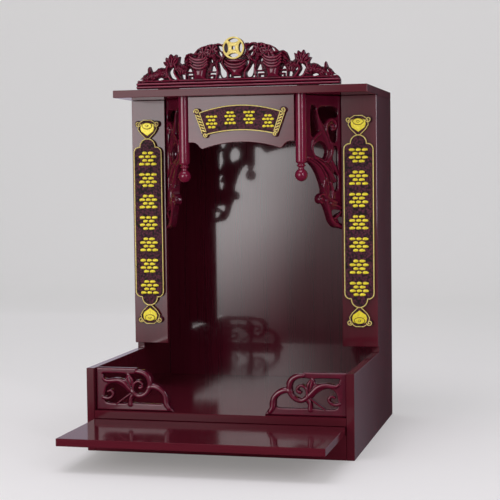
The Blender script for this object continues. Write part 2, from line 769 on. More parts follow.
def end_tree(tree, geometry, material):
    """Ends a tree: real geometry with its material."""
    real = add_node(tree, "GeometryNodeRealizeInstances", {"Geometry": geometry})
    painted = add_node(tree, "GeometryNodeSetMaterial",
                       {"Geometry": real.outputs[0], "Material": material})
    add_node(tree, "NodeGroupOutput", {"Geometry": painted.outputs[0]})
    return tree


def raised_line_tree():
    """A half-round raised line along each path, as wide as the path's radius says."""
    known = bpy.data.node_groups.get("raised_line")
    if known:
        return known
    tree, start = new_tree("raised_line", [
        ("Paths", "NodeSocketGeometry"), ("Width", "NodeSocketFloat"), ("Height", "NodeSocketFloat"),
        ("Sides", "NodeSocketInt"), ("Material", "NodeSocketMaterial")])
    half = add_node(tree, "ShaderNodeMath", {0: start.outputs["Width"], 1: 0.5}, operation="MULTIPLY")
    size = add_node(tree, "ShaderNodeCombineXYZ",
                    {"X": half.outputs[0], "Y": start.outputs["Height"], "Z": 1.0})
    section = add_node(tree, "GeometryNodeCurvePrimitiveCircle",
                       {"Resolution": start.outputs["Sides"], "Radius": 1.0}, mode="RADIUS")
    flat = add_node(tree, "GeometryNodeTransform",
                    {"Geometry": section.outputs["Curve"], "Scale": size.outputs[0]})
    level = add_node(tree, "GeometryNodeSetCurveNormal", {"Curve": start.outputs["Paths"]},
                     mode="Z_UP")
    radius = add_node(tree, "GeometryNodeInputRadius")
    sweep = add_node(tree, "GeometryNodeCurveToMesh",
                     {"Curve": level.outputs["Curve"], "Profile Curve": flat.outputs["Geometry"],
                      "Scale": radius.outputs["Radius"], "Fill Caps": True})
    soft = add_node(tree, "GeometryNodeSetShadeSmooth", {"Geometry": sweep.outputs["Mesh"]})
    return end_tree(tree, soft.outputs["Geometry"], start.outputs["Material"])


def stipple_tree():
    """Small raised grains scattered over a surface."""
    known = bpy.data.node_groups.get("stipple")
    if known:
        return known
    tree, start = new_tree("stipple", [
        ("Ground", "NodeSocketGeometry"), ("Spacing", "NodeSocketFloat"),
        ("Radius", "NodeSocketFloat"), ("Seed", "NodeSocketInt"), ("Material", "NodeSocketMaterial")])
    area = add_node(tree, "ShaderNodeMath", {0: start.outputs["Spacing"], 1: -2.0}, operation="POWER")
    points = add_node(tree, "GeometryNodeDistributePointsOnFaces",
                      {"Mesh": start.outputs["Ground"], "Distance Min": start.outputs["Spacing"],
                       "Density Max": area.outputs[0], "Seed": start.outputs["Seed"]},
                      distribute_method="POISSON")
    grain = add_node(tree, "GeometryNodeMeshIcoSphere",
                     {"Radius": start.outputs["Radius"], "Subdivisions": 1})
    size = add_node(tree, "FunctionNodeRandomValue",
                    {2: 0.6, 3: 1.25, "Seed": start.outputs["Seed"]}, data_type="FLOAT")
    turn = add_node(tree, "FunctionNodeRandomValue",
                    {0: (0, 0, 0), 1: (0, 0, 6.28), "Seed": start.outputs["Seed"]},
                    data_type="FLOAT_VECTOR")
    copies = add_node(tree, "GeometryNodeInstanceOnPoints",
                      {"Points": points.outputs["Points"], "Instance": grain.outputs["Mesh"],
                       "Rotation": turn.outputs[0], "Scale": size.outputs[1]})
    soft = add_node(tree, "GeometryNodeSetShadeSmooth", {"Geometry": copies.outputs["Instances"]})
    return end_tree(tree, soft.outputs["Geometry"], start.outputs["Material"])


def grown_mesh(data, tree, inputs, slot_number):
    """Runs a tree on a curve or mesh and returns the plain mesh it makes."""
    holder = bpy.data.objects.new("source", data)
    bpy.context.scene.collection.objects.link(holder)
    modifier = holder.modifiers.new("tree", "NODES")
    modifier.node_group = tree
    for name, value in inputs.items():
        modifier[tree.interface.items_tree[name].identifier] = value
    bpy.context.view_layer.update()
    seen = holder.evaluated_get(bpy.context.evaluated_depsgraph_get())
    mesh = bpy.data.meshes.new_from_object(seen)
    bpy.data.objects.remove(holder)
    mesh.polygons.foreach_set("material_index", [slot_number] * len(mesh.polygons))
    if not len(mesh.polygons):
        raise RuntimeError(f"{tree.name} made nothing")
    return mesh


def paths_curve(paths):
    """A curve of open or closed paths, each (points in mm, relative widths, closed), in metres."""
    curve = bpy.data.curves.new("paths", "CURVE")
    curve.dimensions = "3D"
    for points, widths, closed in paths:
        spline = curve.splines.new("POLY")
        spline.points.add(len(points) - 1)
        for point, place, width in zip(spline.points, points, spread(widths, len(points))):
            point.co = (*(np.asarray(place, float) * MM), 1)
            point.radius = width
        spline.use_cyclic_u = closed
    return curve


# ---------------------------------------------------------------- plaques
# In millimetres. A plaque is made lying flat: x across it, y up it and z out of it.
PLAQUE_GROUND = 7.0
RIM_HEIGHT = 1.6
# Where the three paints stand in a plaque's list of materials.
GROUND_PAINT, GOLD_PAINT, RIM_PAINT = 0, 1, 2
# The label: radii of its end caps and shoulders, half its width and its ends.
LABEL_CAP, LABEL_SHOULDER = 17.5, 12.5
LABEL_HALF = (COUPLET_HIGH.x - COUPLET_LOW.x) / 2
LABEL_BOTTOM, LABEL_TOP = 253.0, 605.5
ORNAMENT_OFF = 1.5
# The places of the characters: how many, the first, their pitch, the width and height of one.
COUPLET_PLACES, COUPLET_FIRST, COUPLET_PITCH = 7, 563.0, 45.2
COUPLET_PLACE, COUPLET_BRUSH = (40, 31), 5.8
BANNER_PLACES = ((-58, 633), (-19.5, 640.5), (19.5, 640.5), (58, 633))
BANNER_PLACE, BANNER_BRUSH = (24, 28), 4.8
DAB_COUNTS = (2, 3, 2, 3)
# An arched edge of the banner: half its length, the height of its ends and its rise.
BANNER_TOP = (84.0, 652.5, 14.0)
BANNER_BOTTOM = (71.0, 607.0, 8.5)
# The scrolls at the ends of a roll: x, height and radius; and the direction across the roll.
ROLL_TOP, ROLL_BOTTOM = (89.0, 654.5, 6.6), (72.0, 607.0, 5.6)
ACROSS_X, ACROSS_Z = 0.94, 0.34


def slab_mesh(outline, low, high, slot_number, arris=0.35):
    """A flat plate from an outline, with its upper edges rounded; mm in, metres out."""
    shape = bmesh.new()
    ring = [shape.verts.new((x * MM, y * MM, low * MM)) for x, y in outline]
    face = shape.faces.new(ring)
    face.normal_update()
    if face.normal.z > 0:
        face.normal_flip()
    grown = bmesh.ops.extrude_face_region(shape, geom=[face])
    raised = [v for v in grown["geom"] if isinstance(v, bmesh.types.BMVert)]
    bmesh.ops.translate(shape, verts=raised, vec=(0, 0, (high - low) * MM))
    top = [e for e in shape.edges if all(v in raised for v in e.verts)]
    bmesh.ops.bevel(shape, geom=top, offset=arris * MM, segments=2, profile=0.5, affect="EDGES")
    bmesh.ops.recalc_face_normals(shape, faces=shape.faces)
    for item in shape.faces:
        item.material_index = slot_number
    mesh = bpy.data.meshes.new("plate")
    shape.to_mesh(mesh)
    shape.free()
    return mesh


def flat_mesh(outline, level):
    """A single flat face at a level, as a surface to scatter on."""
    shape = bmesh.new()
    shape.faces.new([shape.verts.new((x * MM, y * MM, level * MM)) for x, y in outline])
    bmesh.ops.triangulate(shape, faces=shape.faces)
    mesh = bpy.data.meshes.new("surface")
    shape.to_mesh(mesh)
    shape.free()
    return mesh


def label_outline(inset):
    """Label: straight sides, round shoulders and a round cap at each end; anticlockwise."""
    r = LABEL_CAP - inset
    start = math.degrees(math.asin(-inset / r))
    quarter = (arc_points(LABEL_HALF - LABEL_SHOULDER, LABEL_TOP - LABEL_CAP - LABEL_SHOULDER,
                          LABEL_SHOULDER - inset, 0, 90, 8)
               + arc_points(0, LABEL_TOP - LABEL_CAP, r, start, 90, 10))
    middle = (LABEL_TOP + LABEL_BOTTOM) / 2
    top = quarter + [(-x, z) for x, z in reversed(quarter[:-1])]
    return top + [(-x, 2 * middle - z) for x, z in top]


def banner_arch(edge, lift, inset, start):
    """Points along an arched edge from its end on the start side, lifted and drawn in at both ends."""
    half, end_z, rise = edge
    t = np.linspace(start, -start, 25)
    return [((half - inset) * x, end_z + lift + rise * (1 - x * x)) for x in t]


def banner_outline(inset):
    """Banner: two arched edges between slanting ends; anticlockwise."""
    return banner_arch(BANNER_TOP, -inset, inset, 1) + banner_arch(BANNER_BOTTOM, inset, inset, -1)


def dab_paths(cx, cz, size, index):
    """Four level rows of short brush dabs, staggered like bricks; they spell nothing."""
    width, height = size
    paths = []
    for row in range(4):
        count = DAB_COUNTS[(row + index) % 4]
        z = cz + height * (0.375 - 0.25 * row)
        pitch = width / 3
        for i in range(count):
            x = cx + pitch * (i - (count - 1) / 2)
            reach = pitch * (0.44 if (i + row + index) % 2 else 0.38)
            line = [(x - reach, z - 0.5, PLAQUE_GROUND), (x - reach * 0.4, z + 0.2, PLAQUE_GROUND),
                    (x + reach * 0.4, z + 0.3, PLAQUE_GROUND), (x + reach, z - 0.3, PLAQUE_GROUND)]
            paths.append((line, (0.7, 1.1, 0.95, 0.5), False))
    return paths


def gold_lines(paths, width, height, sides, paint, slot_number):
    """Raised gilded lines along the paths, all in millimetres."""
    return grown_mesh(paths_curve(paths), raised_line_tree(),
                      {"Width": width * MM, "Height": height * MM, "Sides": sides,
                       "Material": paint}, slot_number)


def stippled(outline, shape, ground):
    """The raised grains inside an outline on a plaque's ground."""
    return grown_mesh(flat_mesh(outline, PLAQUE_GROUND), stipple_tree(),
                      {"Spacing": shape.stipple_size * 2.6, "Radius": shape.stipple_size,
                       "Seed": shape.stipple_seed, "Material": ground}, GROUND_PAINT)


def level(points, height):
    """Flat points put at one height."""
    return [(x, y, height) for x, y in points]


def ornament_meshes(tip_z, flip, rim):
    """An ingot-shaped ornament with scrolled ears, its tip at tip_z; flip -1 hangs it upside down."""
    def place(pairs):
        """Pairs drawn upwards from the tip, put in their place."""
        return [(x * flip, tip_z + q * flip) for x, q in pairs]

    def oval(wide, tall):
        """An oval about the middle of the bowl."""
        return [(bowl_x + wide * x, bowl_z + tall * z) for x, z in arc_points(0, 0, 1, 0, 348, 29)]

    body = place([(-2.5, -3), (2.5, -3), (15, 9), (20.5, 18), (18, 30), (8, 36.5), (-8, 36.5),
                  (-18, 30), (-20.5, 18), (-15, 9)])
    shield = place([(0, 3.5), (13, 12.5), (15.5, 19), (14, 26), (10.5, 29.5), (-10.5, 29.5), (-14, 26),
                    (-15.5, 19), (-13, 12.5)])
    (bowl_x, bowl_z), = place([(0, 24.5)])
    meshes = [slab_mesh(body, 0, PLAQUE_GROUND, GROUND_PAINT),
              slab_mesh(shield, 0, PLAQUE_GROUND + 1.3, GOLD_PAINT, 1.0),
              slab_mesh(oval(11.5, 7.4), 0, PLAQUE_GROUND + 1.6, GROUND_PAINT),
              slab_mesh(oval(10.2, 6.2), 0, PLAQUE_GROUND + 2.6, GOLD_PAINT, 0.9),
              slab_mesh(oval(3.4, 2.2), 0, PLAQUE_GROUND + 3.3, GROUND_PAINT, 0.5),
              slab_mesh(oval(2.5, 1.5), 0, PLAQUE_GROUND + 3.8, GOLD_PAINT, 0.4)]
    ears = []
    for side in (-1, 1):
        (x, z), = place([(side * 20, 28.5)])
        meshes.append(slab_mesh(arc_points(x, z, 7.0, 0, 345, 23), 0, PLAQUE_GROUND + 0.4,
                                GROUND_PAINT))
        coil = spiral_points(x, z, 6.0, 90 + 90 * flip * side, 1.35 * side * flip, 30, 0.2)
        ears.append((level(coil, PLAQUE_GROUND + 0.4), (1, 1, 1.2), False))
    meshes.append(gold_lines([(level(body, PLAQUE_GROUND), (1, 1), True)], 1.8, RIM_HEIGHT, 8, rim,
                             RIM_PAINT))
    meshes.append(gold_lines(ears, 2.0, RIM_HEIGHT, 8, rim, RIM_PAINT))
    return meshes


def couplet_mesh(offset, shape, gold, rim, ground):
    """One couplet plaque in its own plane."""
    wide = shape.rim_width / MM
    meshes = [slab_mesh(label_outline(0), 0, PLAQUE_GROUND, GROUND_PAINT),
              stippled(label_outline(wide), shape, ground),
              gold_lines([(level(label_outline(wide / 2), PLAQUE_GROUND), (1, 1), True)],
                         wide, RIM_HEIGHT, 10, rim, RIM_PAINT)]
    dabs = []
    for i in range(COUPLET_PLACES):
        dabs += dab_paths(0, COUPLET_FIRST - COUPLET_PITCH * i, COUPLET_PLACE, i + offset)
    meshes.append(gold_lines(dabs, COUPLET_BRUSH, RIM_HEIGHT, 12, gold, GOLD_PAINT))
    meshes += ornament_meshes(LABEL_TOP + ORNAMENT_OFF, 1, rim)
    meshes += ornament_meshes(LABEL_BOTTOM - ORNAMENT_OFF, -1, rim)
    return merged_mesh(meshes)


def roll_meshes(side, rim):
    """A rolled end of the banner: a twisted cord on a dark roll between two scrolls."""
    (tx, tz, tr), (bx, bz, br) = ROLL_TOP, ROLL_BOTTOM

    def at(t, off):
        """The point a share t of the way up the roll and off to one side."""
        return (side * (bx + (tx - bx) * t + off * ACROSS_X), bz + (tz - bz) * t - off * ACROSS_Z)

    lift = PLAQUE_GROUND + 1.0
    core = [at(0.0, 5.0), at(1.0, 5.4), at(1.0, -5.4), at(0.0, -5.0)]
    meshes = [slab_mesh(core, 0, lift, GROUND_PAINT, 0.9)]
    for off in (-4.4, 4.4):
        edge = [(*at(t, off * (0.94 + 0.1 * t)), lift) for t in np.linspace(0.1, 0.9, 6)]
        meshes.append(gold_lines([(edge, (1, 1), False)], 1.7, 1.4, 8, rim, RIM_PAINT))
    twists = []
    for k in range(6):
        t = 0.16 + k * 0.125
        twists.append(([(*at(t - 0.04, -3.0), lift), (*at(t, -0.8), lift), (*at(t + 0.05, 1.4), lift),
                        (*at(t + 0.07, 3.0), lift)], (0.7, 1.1, 1.1, 0.6), False))
    meshes.append(gold_lines(twists, 2.6, 1.6, 10, rim, RIM_PAINT))
    ends = []
    for x, z, r, start in ((tx, tz, tr, 200), (bx, bz, br, 20)):
        meshes.append(slab_mesh(arc_points(side * x, z, r, 0, 345, 23), 0, lift + 0.4, GROUND_PAINT))
        coil = spiral_points(side * x, z, r - 0.9, start, 1.35 * side, 34, 0.15)
        ends.append((level(coil, lift + 0.4), (1, 1, 1.2), False))
    meshes.append(gold_lines(ends, 2.0, 1.5, 8, rim, RIM_PAINT))
    return meshes


def banner_mesh(shape, gold, rim, ground):
    """The header plaque in its own plane."""
    wide = shape.rim_width / MM
    edges = [(level(banner_arch(BANNER_TOP, -wide / 2, 0, 1), PLAQUE_GROUND), (1, 1), False),
             (level(banner_arch(BANNER_BOTTOM, wide / 2, 0, -1), PLAQUE_GROUND), (1, 1), False)]
    meshes = [slab_mesh(banner_outline(0), 0, PLAQUE_GROUND, GROUND_PAINT),
              stippled(banner_outline(wide), shape, ground),
              gold_lines(edges, wide, RIM_HEIGHT, 10, rim, RIM_PAINT)]
    dabs = []
    for i, (x, z) in enumerate(BANNER_PLACES):
        dabs += dab_paths(x, z, BANNER_PLACE, i + 1)
    meshes.append(gold_lines(dabs, BANNER_BRUSH, RIM_HEIGHT, 12, gold, GOLD_PAINT))
    for side in (-1, 1):
        meshes += roll_meshes(side, rim)
    return merged_mesh(meshes)


def stand_panel(mesh, x, back_y):
    """Turns a panel made flat on the ground to face -Y with its back at back_y (mm)."""
    mesh.transform(Matrix.Translation((x * MM, back_y * MM, 0)) @ Matrix.Rotation(math.pi / 2, 4, "X"))
    return mesh


# ---------------------------------------------------------------- corner brackets
CORNER_THICK = 12.0
CORNER_LENGTH, CORNER_TOP = 157.0, 82.5


def corner_carving(step):
    """Tray corner bracket: rail and stile, a vine with a leaf and a curl under two cloud lobes."""
    carving = Carving((0, 0), (CORNER_LENGTH, CORNER_TOP), step)
    lobe = smooth_line([(147, 13.5), (147.5, 22), (144, 33), (137, 42.5), (127, 50.5), (114.5, 54.5)])
    cloud = smooth_line([(114.5, 54.5), (114.5, 62), (108.5, 72), (97, 78.5), (83, 79)])
    flick = smooth_line([(CORNER_LENGTH, GAP), (153.5, 4.5), (150.5, 10), (147, 13.5)])
    outline = np.vstack([[(GAP, GAP)], flick[:-1], lobe[:-1], cloud,
                         [(83, CORNER_TOP - GAP), (GAP, CORNER_TOP - GAP)]])
    carving.plate(outline, CORNER_THICK - 2.6)
    whole = carving.cover.copy()
    for window in (
            [(15, 68), (18, 71), (57, 70.5), (60.5, 67), (57, 60.5), (46, 62.5), (34, 62), (24, 56),
             (18.5, 58.5)],
            [(68, 69), (80, 71), (92, 70), (99.5, 65), (103, 56), (102, 45), (96.5, 36.5), (87, 32.5),
             (79, 34), (74.5, 40), (72.5, 48), (74, 57), (70.5, 64)],
            [(19, 37), (22.5, 46), (31, 51.5), (42, 51), (54, 44.5), (63, 36), (67.5, 28), (64.5, 16),
             (45, 14), (23, 15), (17.5, 22)],
            [(75, 16), (76, 23.5), (83, 28), (93, 29), (101.5, 34.5), (110, 42), (120, 42), (129, 35.5),
             (135, 26), (134.5, 17), (127, 14.5), (100, 14.5)]):
        carving.pierce(smooth_line(window, closed=True))
    carving.round_edges(3.0)
    top, edge = CORNER_THICK, 8.0
    carving.band([(15, 24), (23, 22.5), (31, 25.5), (34.5, 32), (30, 38), (24, 36)], [7, 6, 6, 6, 5],
                 top - 1, edge)
    carving.band([(42, 13), (56, 23), (70, 33)], [3.5, 4.5, 5], top - 1.5, edge - 1)
    carving.band([(15, 61), (21, 57), (32, 57), (45, 58), (57, 53), (66, 44), (74, 36)],
                 [4, 9, 9.5, 9], top, edge)
    carving.band([(74, 36), (85, 29), (97, 31.5), (106, 41), (109, 54), (105, 66), (95, 73.5), (83, 76)],
                 [9, 9.5, 11, 11, 9], top, edge)
    carving.band([(105, 45), (117, 47), (130, 41.5), (139, 31), (141, 16), (146, 7)], [8, 11, 11, 12, 8],
                 top, edge)
    carving.band([(69.5, 13), (70, 25), (76, 33)], [11, 7, 8], top - 0.5, edge)
    carving.band([(76, 34), (75, 44), (79, 53.5), (86.5, 57), (93, 53), (93.5, 46.5), (89, 44.5)],
                 [7, 6, 6, 6, 6, 8], top, edge)
    carving.leaf((64, 72.5), (72, 42), 13, top, edge, bend=0.08)
    carving.cover = np.minimum(carving.cover, whole)
    return carving


# ---------------------------------------------------------------- brackets by the posts
# The outer face runs from beside the post to the pillar board; its end is mitred over the last stretch.
BRACKET_THICK = 14.0
BRACKET_SIDE, BRACKET_SET_BACK = 131.4, 16.1
BRACKET_START = Vector((BRACKET_SIDE, POST_LOW.y + BRACKET_SET_BACK, 0))
BRACKET_END = Vector((PILLAR_LOW.x - GAP, PILLAR_LOW.y, 0))
BRACKET_MITRE = 14.0
BRACKET_FOOT = 412


def bracket_carving(step, length):
    """Openwork bracket between a post and a pillar board: scrolls, a fan of leaves, a dropped tail."""
    top_z = BRACKET_HIGH.z
    carving = Carving((0, BRACKET_FOOT), (length, top_z), step)
    hem = smooth_line([(4, 553), (14, 548.5), (24, 540), (33, 527.5), (41, 512), (46.5, 497), (47, 488)])
    knob = smooth_line([(47, 488), (40, 486), (33.5, 480), (34, 471.5), (41, 466.5), (49, 467)])
    tail = smooth_line([(49, 467), (56, 455), (61, 443), (66, 431), (76, 420), (88, 415),
                        (length, BRACKET_FOOT)])
    outline = np.vstack([[(0, top_z), (0, 553)], hem[:-1], knob[:-1], tail, [(length, top_z)]])
    carving.plate(outline, BRACKET_THICK - 3.4)
    whole = carving.cover.copy()
    for window in (
            [(17, 660), (30, 660), (29, 645), (33, 628), (37, 610), (30, 604), (17, 606)],
            [(38, 658), (60, 662), (84, 660), (86, 642), (74, 641), (60, 637), (52, 628), (42, 636)],
            [(66, 622), (73, 617), (84, 622), (85, 604), (82, 590), (72, 594), (66, 606)],
            [(39, 592), (52, 588), (60, 576), (58, 562), (46, 554), (32, 556), (23, 568), (27, 584)],
            [(53, 508), (60, 503), (66, 492), (64, 483), (56, 484), (52, 494)],
            [(79, 580), (86, 578), (86.5, 540), (86, 498), (80, 492), (76, 510), (80, 530), (77, 556)],
            [(73, 452), (90, 452), (84, 443), (76, 436)],
            [(86, 439), (96, 436), (96, 424), (90, 427)]):
        carving.pierce(smooth_line(window, closed=True))
    carving.round_edges(2.6)
    top, edge = BRACKET_THICK, 8.0
    carving.band([(29, 655), (34, 642), (40, 628), (50, 613), (60, 598), (67, 580)],
                 [4, 8, 13, 17, 17, 14], top - 0.5, edge)
    carving.band([(62, 600), (57, 615), (61, 630), (72, 636), (82, 630), (82, 619), (74, 616)],
                 [9, 9, 9, 9, 8, 8, 9], top, edge)
    carving.dome(75, 622, 5.5, top + 0.8, edge)
    carving.band([(42, 610), (30, 602), (20, 590), (20, 572), (28, 558)], [9, 8, 7, 6, 6], top - 1, edge)
    carving.band([(58, 600), (70, 586), (72, 568), (62, 552), (48, 546)], [12, 12, 12, 11, 9], top, edge)
    carving.band([(8, 559), (24, 550), (40, 536), (52, 519), (58, 500), (60, 480)],
                 [7, 15, 19, 21, 19, 14], top - 0.5, edge)
    carving.band([(30, 560), (50, 548), (68, 532), (80, 512)], [8, 15, 16, 9], top - 0.5, edge)
    carving.band([(66, 560), (78, 545), (88, 525)], [7, 9, 6], top - 1.5, edge)
    for rib in ([(12, 556), (34, 545), (50, 527), (58, 505)], [(22, 556), (44, 545), (62, 526), (70, 505)],
                [(36, 556), (56, 545), (74, 527), (82, 508)], [(52, 552), (68, 540), (82, 520)]):
        carving.groove(rib, 3.0, 2.6)
    for fold in ([(36, 644), (44, 626), (56, 608), (64, 590)], [(24, 592), (25, 576), (32, 561)],
                 [(66, 598), (77, 582), (76, 564), (66, 549)]):
        carving.groove(fold, 2.4, 1.8)
    carving.band([(53, 514), (48, 499), (54, 484), (66, 474), (84, 468)], [9, 10, 12, 12, 9], top, edge)
    carving.band([(68, 508), (74, 492), (71, 474)], [8, 10, 10], top, edge)
    carving.band([(52, 484), (44, 486), (37, 481), (36, 473), (43, 469)], [7, 8, 7, 7, 8], top, edge)
    carving.dome(42, 476, 5.5, top + 0.8, edge)
    carving.band([(58, 472), (64, 454), (68, 440), (78, 427), (95, 418)], [11, 12, 11, 11, 9], top, edge)
    carving.band([(70, 466), (84, 462), (96, 456)], [9, 8, 6], top - 1, edge)
    carving.band([(72, 434), (84, 438), (94, 448)], [7, 6, 5], top - 1, edge)
    carving.groove([(60, 468), (67, 452), (72, 438), (82, 428)], 2.4, 1.8)
    carving.cover = np.minimum(carving.cover, whole)
    return carving


# ---------------------------------------------------------------- crest
# In millimetres: heights above the back of the crest, then the place and radius of the coin.
CREST_GROUND, CREST_LEAF, CREST_VESSEL = 15.0, 19.0, 24.0
COIN_BACK, COIN_FRONT, COIN_Z, COIN_RADIUS = 22.0, 35.0, 76.0, 22.0
CREST_HALF = (CREST_HIGH.x - CREST_LOW.x) / 2
CREST_TALL = 89


def vessel(carving, x, top, half_top, half_foot, foot, lips, high, edge):
    """A full bowl on a flared foot, with a stack of lips with upturned ends across its upper part."""
    drop = top - foot
    side = [(half_top, top), (half_top * 0.98, top - drop * 0.35), (half_top * 0.82, top - drop * 0.65),
            (half_foot, foot), (half_foot * 1.2, foot - 5)]
    body = [(x + w, z) for w, z in side] + [(x - w, z) for w, z in reversed(side)]
    carving.pad(smooth_line(body, closed=True), high, edge, half_foot)
    for i in range(lips):
        z, half = top - 1 - 5.6 * i, half_top * (1 - 0.03 * i)
        lip = [(x - half - 1.5, z + 3.5), (x - half * 0.6, z - 3), (x, z - 5), (x + half * 0.6, z - 3),
               (x + half + 1.5, z + 3.5)]
        carving.band(lip, [3.4, 5.4, 6.2, 5.4, 3.4], high + 0.8, high - 2.5)
        carving.groove([(px, pz - 3.0) for px, pz in lip], 2.0, 1.8)


def rosette(carving, x, y, rings, top, edge):
    """Rings of round petals about a boss: each ring is (radius, petals, width), outermost first."""
    for k, (radius, petals, width) in enumerate(rings):
        for i in range(petals):
            a = 2 * math.pi * (i + 0.5 * (k % 2)) / petals
            reach = [(x + r * math.cos(a), y + r * math.sin(a)) for r in (radius - width * 0.7, radius)]
            carving.band(reach, [width * 0.7, width],
                         top - 1.1 * (len(rings) - 1 - k) + 0.5 * (i % 2), edge)
    carving.dome(x, y, rings[-1][0] * 0.6, top + 1.0, edge)


def tuft(carving, base, reach, angles, width, top, edge):
    """A fan of leaves from one point: angles are the first, the last and how many."""
    for i, angle in enumerate(np.radians(np.linspace(*angles))):
        length = reach * (1 - 0.12 * (i % 2))
        tip = (base[0] + length * math.cos(angle), base[1] + length * math.sin(angle))
        carving.leaf(base, tip, width, top - 0.9 * (i % 2), edge, bend=0.06 * (-1) ** i)


# Openings of the crest by their corners, and the leaf-shaped ones by two tips and a width.
CREST_WINDOWS = (
    [(20.5, 54.5), (24, 52), (25.5, 47), (22, 40.5), (19.5, 41.5), (21.5, 47)],
    [(40.5, 33), (52, 33), (50, 43), (46.5, 45)],
    [(41.5, 19.5), (44.5, 19.5), (44.5, 27), (57, 27), (55, 30), (41.5, 30)],
    [(48, 19.5), (55.5, 19.5), (55.5, 23), (48, 23)],
    [(101.5, 19.5), (98.5, 19.5), (98.5, 26.5), (90, 26.5), (91, 29.5), (101.5, 29.5)],
    [(90.5, 19.5), (96, 19.5), (96, 23), (90.5, 23)],
    [(92, 33.5), (103, 33.5), (99.5, 39.5), (94.5, 39.5)],
    [(106, 19.5), (112, 19.5), (114.5, 28), (107, 28.5)],
    [(31, 19.5), (38.5, 19.5), (36.5, 28)],
    [(-1, 19.5), (8, 19.5), (8, 22), (-1, 22)])
CREST_HOLES = (
    ((71, 77), (81, 68), 4.5), ((23, 71), (38, 83), 8), ((27, 60), (37, 72.5), 6),
    ((49.5, 48.5), (52.5, 58), 4), ((152, 20.5), (166, 20.5), 6), ((13.5, 19.5), (14.5, 28), 4.5),
    ((62.5, 71), (66.5, 78), 3.4), ((49, 80), (54, 75), 3.2), ((43, 70.5), (46, 64.5), 3),
    ((55, 63), (59, 59.5), 2.6), ((36.5, 58), (40.5, 52), 3), ((86.5, 46), (88, 51.5), 3),
    ((145.5, 29.5), (150, 24.5), 3), ((181, 31), (187, 24), 3.2), ((178, 22), (183, 19.5), 2.4),
    ((193, 20), (203, 19), 2.6), ((119.5, 30), (124, 36.5), 4))
# The three mouldings of its base: height, width and how far each stops short of the end.
CREST_MOULDINGS = ((4.6, 6.4, 3), (11.0, 6.4, 3), (16.6, 4.8, 6))


def crest_carving(step):
    """Crest: base mouldings, vessels, flowers, frets, a lotus and leaves, the same on both sides."""
    carving = Carving((-CREST_HALF, 0), (CREST_HALF, CREST_TALL), step, mirrored=True)
    outline = [
        (-1, 0), (CREST_HALF, 0), (CREST_HALF, 10), (206, 16), (202, 19.5), (197, 22.5), (190, 31.5),
        (185, 35), (180.5, 46.5), (176, 35.5), (170, 36.5), (163, 42), (156, 44), (149, 42.5),
        (147, 46), (152, 55), (146, 55.5), (146.5, 64), (140, 61.5), (136.5, 70.5), (131, 65),
        (124.5, 69.5), (122.5, 62.5), (116.5, 65), (118.5, 53), (114, 49), (108, 50.5), (106, 57),
        (102, 66.5), (95, 71), (88, 69.5), (84, 71), (78, 77), (70, 81.5), (60, 83.5), (56, 86),
        (50, 87.5), (45, 85.5), (40, 88), (33, 87.5), (28, 84.5), (24, 88), (20, 87), (18, 83.5),
        (-1, 83.5)]
    carving.plate(outline, CREST_GROUND - 4)
    carving.pierce(arc_points(0, COIN_Z, COIN_RADIUS - 3.2, 0, 350, 35))
    carving.pierce(smooth_line([(37, 50), (34, 49.5), (27, 38), (20.5, 29), (22, 21.5), (29, 20.5),
                                (33.5, 27), (35, 39)], closed=True))
    for window in CREST_WINDOWS:
        carving.pierce(window)
    for tip, end, width in CREST_HOLES:
        carving.pierce(lens_outline(tip, end, width))
    carving.pierce([(-1, -1), (122, -1), (122, 1.3), (-1, 1.3)])
    carving.pierce([(164, -1), (CREST_HALF + 2, -1), (CREST_HALF + 2, 1.3), (164, 1.3)])
    s_slot = smooth_line([(132, 42), (136, 34), (133, 26), (127, 21)])
    reach, _ = line_reach(carving.u, carving.v, s_slot, spread([4, 8, 8, 4], len(s_slot)) / 2)
    carving.cover = np.minimum(carving.cover, -reach)
    open_work = carving.cover.copy()
    carving.tool(1.4, 4.4)
    carving.round_edges(2.0)
    low, top = CREST_GROUND - 6, CREST_LEAF
    crest_outer_leaves(carving, low, top)
    crest_flowers(carving, low, top)
    crest_middle(carving, low, top)
    carving.cover = np.minimum(carving.cover, open_work + 0.8)
    for height, width, drop in CREST_MOULDINGS:
        carving.band([(-210, height), (CREST_HALF - drop, height)], [width, width],
                     CREST_GROUND + 3.5 - drop / 2, low)
    carving.cover = np.minimum(carving.cover, open_work)
    return carving


